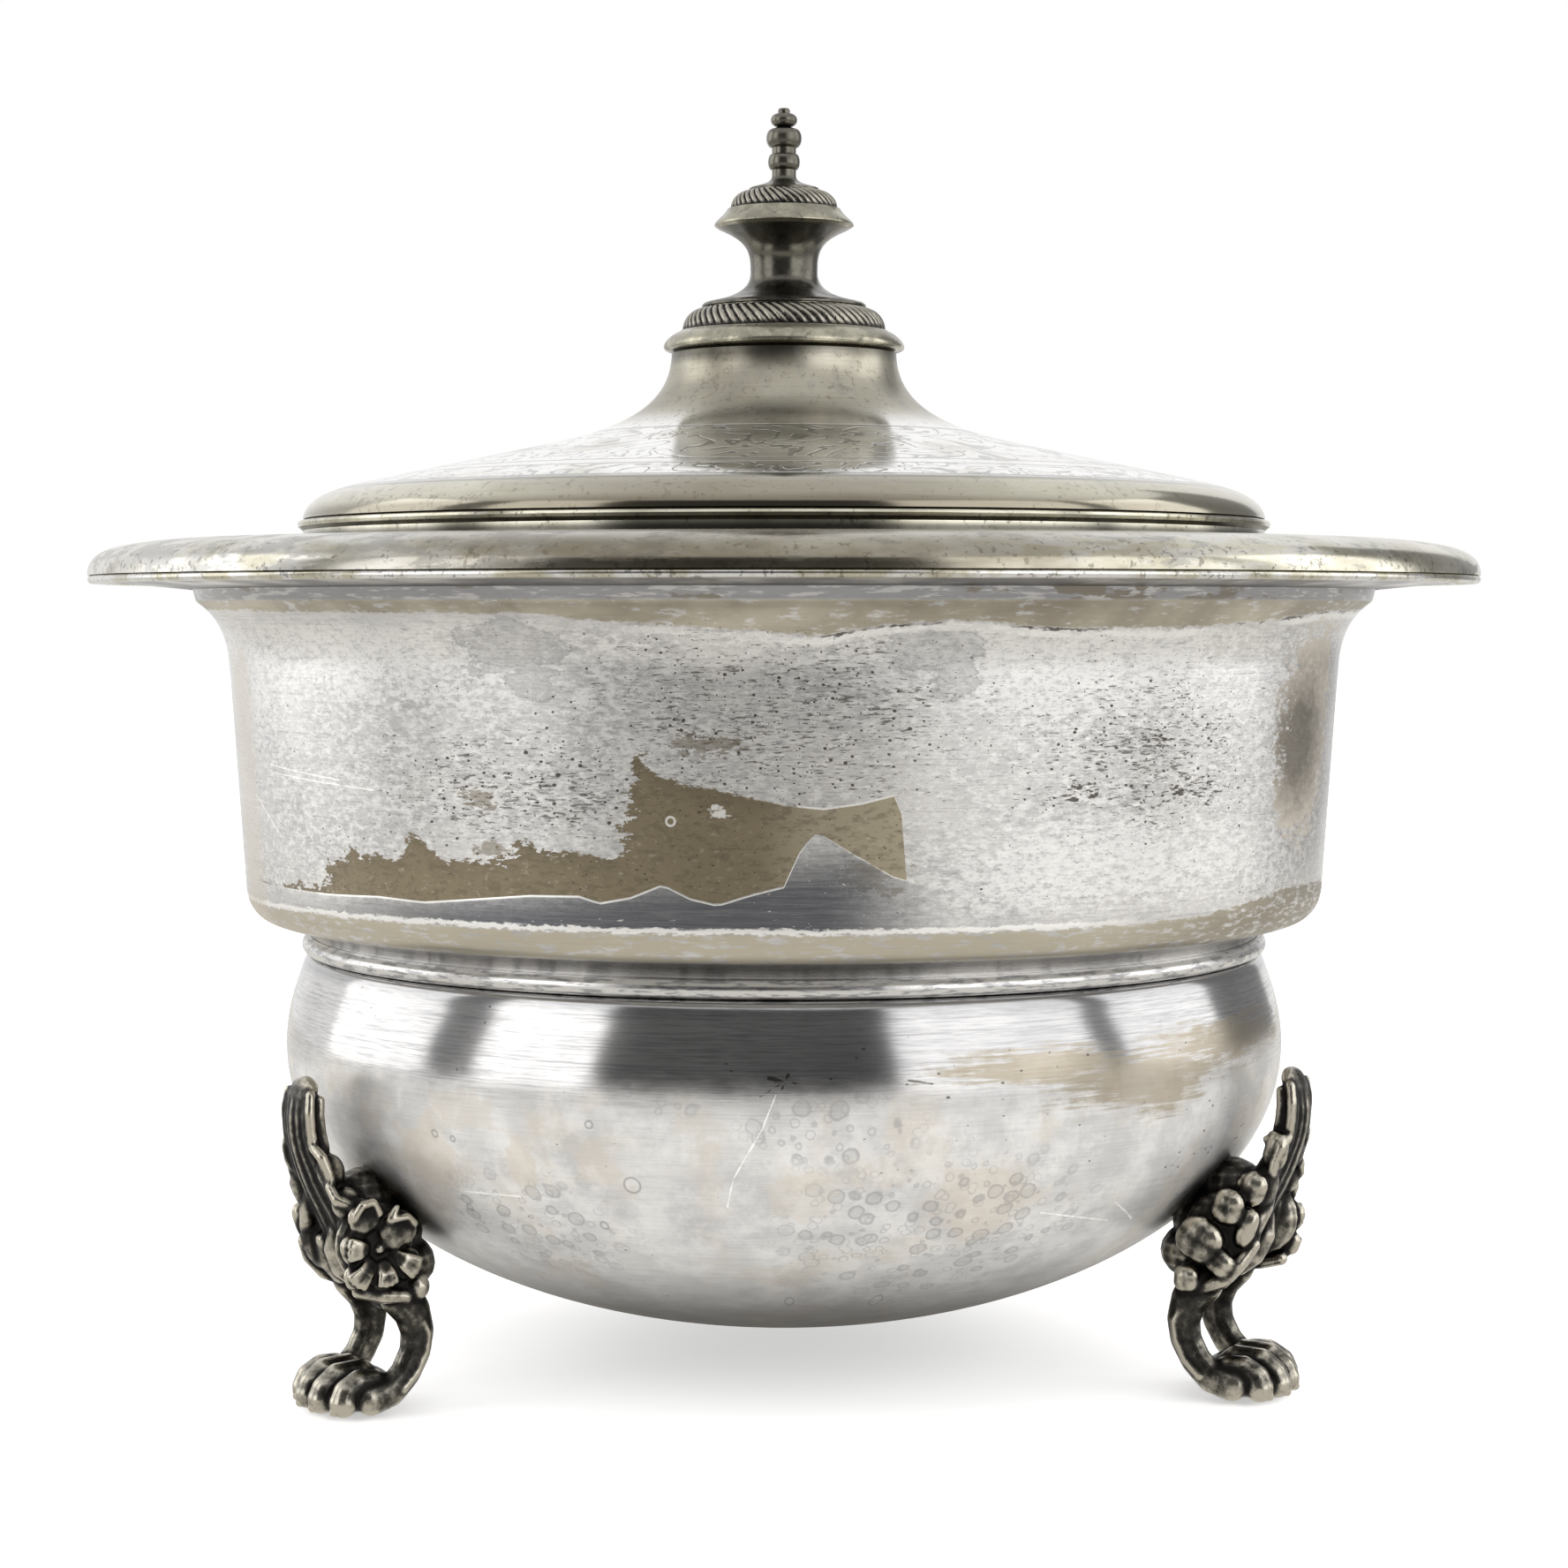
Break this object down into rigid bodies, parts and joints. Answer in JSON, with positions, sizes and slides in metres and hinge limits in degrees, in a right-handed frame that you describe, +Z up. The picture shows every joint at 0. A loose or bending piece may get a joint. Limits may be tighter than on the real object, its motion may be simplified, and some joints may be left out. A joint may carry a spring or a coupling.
{
  "type": "lidded sugar bowl",
  "caption": "Round footed sugar bowl with a straight upper wall, rounded lower bowl, wide domed rim and a lift-off domed lid with a turned finial.",
  "frame": {"origin": "on the table, under the axis of the bowl", "axes": "+Z up along the bowl's axis, +Y towards the rear foot, +X to the right with the other two feet in front"},
  "size_m": [0.1544, 0.1544, 0.14],
  "materials": {
    "plate_silver": "worn silver plate over brass",
    "tarnished_plate": "tarnished silver plate over brass",
    "dark_cast": "oxidised silver plate on castings, worn bright on the high points",
    "bare_brass": "bare brass"
  },
  "bodies": {
    "bowl": {"lower_bowl": "plate_silver", "neck_ring": "plate_silver", "upper_wall": "plate_silver", "rim_top": "tarnished_plate", "rim_underplate": "tarnished_plate", "rim_edge_wire": "plate_silver", "mouth_ring": "plate_silver", "foot_left": "dark_cast", "foot_right": "dark_cast", "foot_rear": "dark_cast"},
    "lid": {"lid_dome": "tarnished_plate", "lid_edge_ring": "tarnished_plate", "lid_locating_ring": "plate_silver", "finial_base": "tarnished_plate", "finial_base_rope": "dark_cast", "finial_spool": "dark_cast", "finial_disc": "tarnished_plate", "finial_disc_rope": "dark_cast", "finial_spire": "dark_cast", "finial_stud": "bare_brass", "finial_washer": "bare_brass", "finial_nut": "bare_brass"}
  },
  "joints": [
    {"name": "lid_lift", "type": "slide", "parent": "bowl", "child": "lid", "axis": [0, 0, 1], "range_m": [0, 0.08]}
  ]
}
